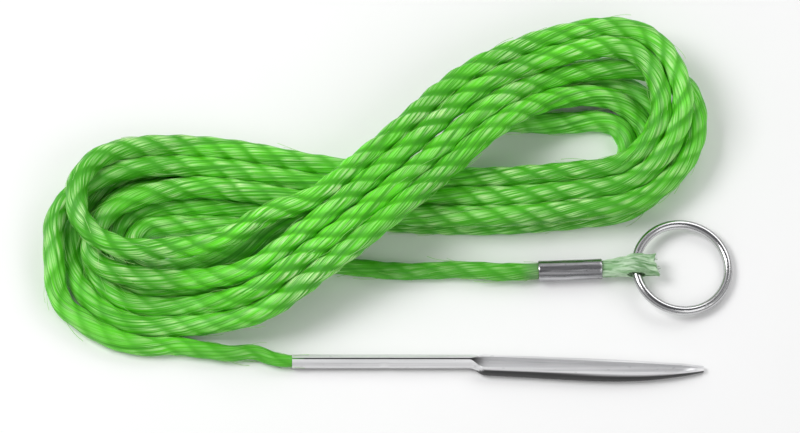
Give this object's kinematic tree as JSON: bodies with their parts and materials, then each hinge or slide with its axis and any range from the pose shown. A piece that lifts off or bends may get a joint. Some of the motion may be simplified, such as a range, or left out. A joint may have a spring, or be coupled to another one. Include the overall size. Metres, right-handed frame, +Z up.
{
  "type": "fish stringer",
  "caption": "Green twisted rope wound as a flat figure-eight hank, with a closed wire ring held in a crimped rope eye at one end and a pointed metal threading needle at the other.",
  "frame": {"origin": "on the table, under the middle of the box of the stringer as it lies", "axes": "+Z up from the table, +X along the hank from its left bend towards the ring"},
  "size_m": [0.172, 0.0958, 0.0191],
  "materials": {
    "rope": "twisted multifilament polypropylene, satin",
    "rope_eye": "flattened, slightly translucent",
    "ferrule": "drawn tube, crimped",
    "ring": "plated wire",
    "needle": "rolled plated sheet"
  },
  "bodies": {
    "rope": {"rope_hank": "rope", "ring_leg": "rope", "rope_eye": "rope_eye", "needle_leg": "rope", "ferrule": "ferrule", "needle": "needle"},
    "ring": {"ring": "ring"}
  },
  "joints": [
    {"name": "ring_swing", "type": "hinge", "parent": "rope", "child": "ring", "pos_m": [0.06168, -0.01727, 0.00401], "axis": [0, -1, 0], "range_deg": [-100, 100]}
  ]
}
